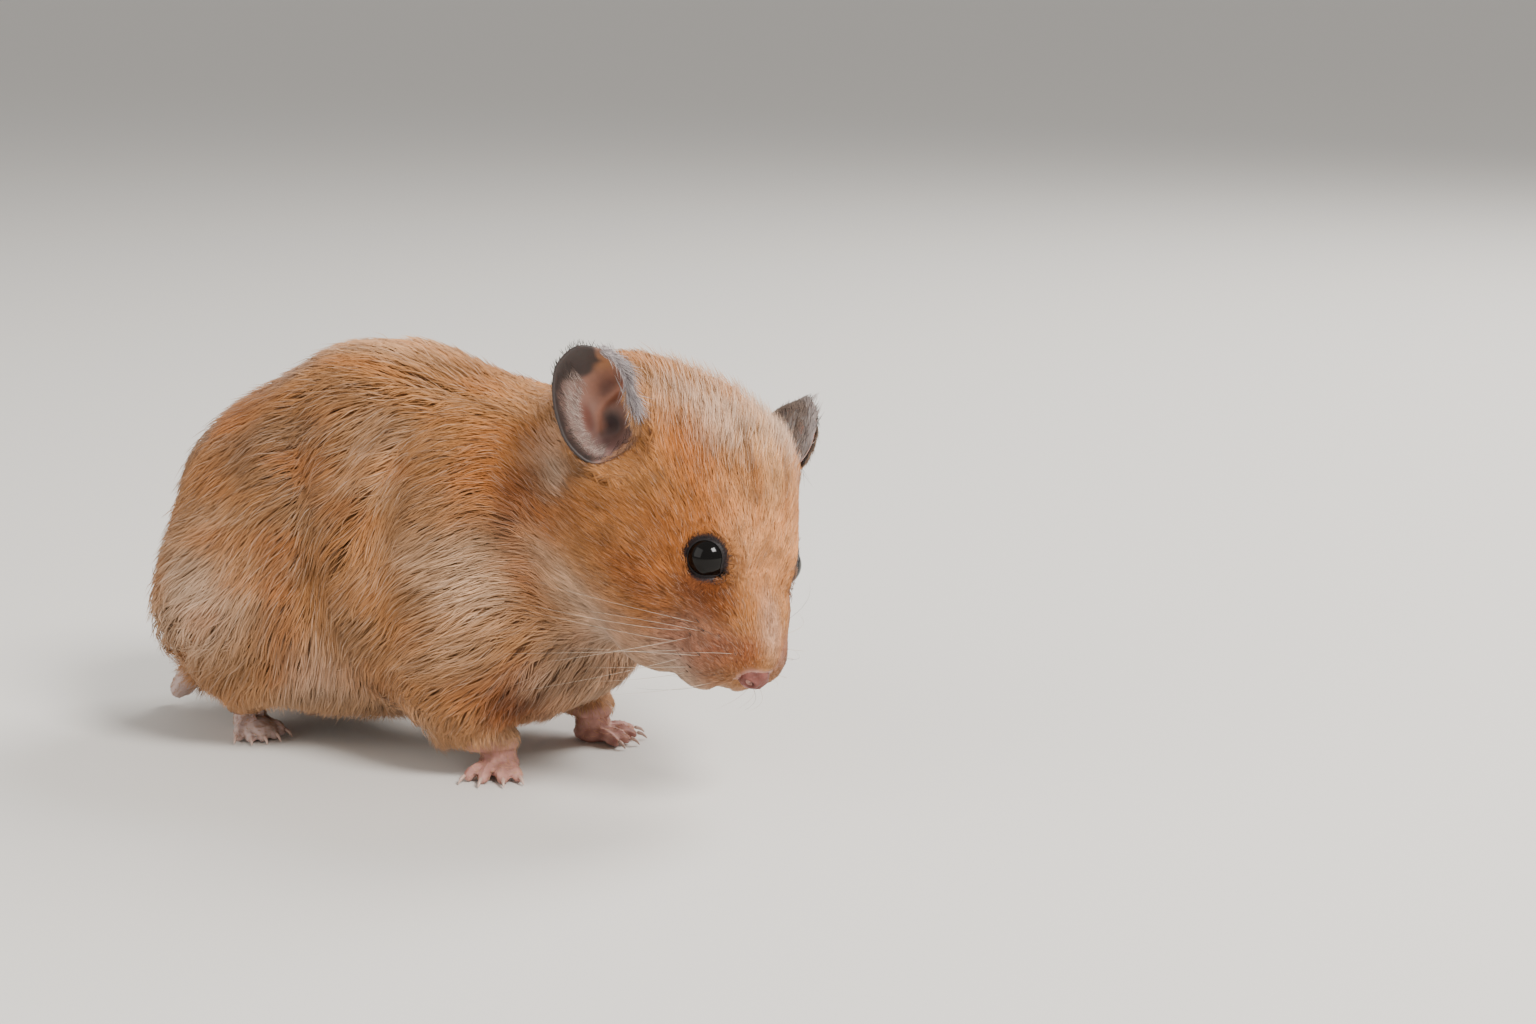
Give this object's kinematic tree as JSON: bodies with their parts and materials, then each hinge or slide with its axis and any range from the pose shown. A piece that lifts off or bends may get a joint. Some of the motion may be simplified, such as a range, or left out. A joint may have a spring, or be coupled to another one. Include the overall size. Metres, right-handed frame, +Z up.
{
  "type": "syrian hamster",
  "caption": "Life-size still model of a Syrian hamster on all fours, head lowered and turned to its right, with a golden coat.",
  "frame": {"origin": "middle of the floor of the model's bounding box, on the surface that the feet stand on", "axes": "+X the way the body faces, +Y to the animal's left, +Z up"},
  "size_m": [0.1254, 0.056, 0.0716],
  "materials": {
    "coat": "dense soft fur, golden orange above and cream below",
    "skin": "bare pink skin with sparse fine hairs",
    "ear": "thin skin, dark grey at the rim and pink inside, with fine short hairs",
    "eye": "wet black",
    "claw": "pale translucent horn"
  },
  "bodies": {
    "root": {"torso": "coat", "neck": "coat", "tail": "skin", "head": "coat", "nose": "skin", "eye_right": "eye", "ear_right": "ear", "eye_left": "eye", "ear_left": "ear", "fore_leg_right": "coat", "fore_paw_right": "skin", "fore_claw_right_1": "claw", "fore_claw_right_2": "claw", "fore_claw_right_3": "claw", "fore_claw_right_4": "claw", "fore_leg_left": "coat", "fore_paw_left": "skin", "fore_claw_left_1": "claw", "fore_claw_left_2": "claw", "fore_claw_left_3": "claw", "fore_claw_left_4": "claw", "hind_leg_right": "coat", "hind_paw_right": "skin", "hind_claw_right_1": "claw", "hind_claw_right_2": "claw", "hind_claw_right_3": "claw", "hind_claw_right_4": "claw", "hind_claw_right_5": "claw", "hind_leg_left": "coat", "hind_paw_left": "skin", "hind_claw_left_1": "claw", "hind_claw_left_2": "claw", "hind_claw_left_3": "claw", "hind_claw_left_4": "claw", "hind_claw_left_5": "claw"}
  },
  "joints": []
}
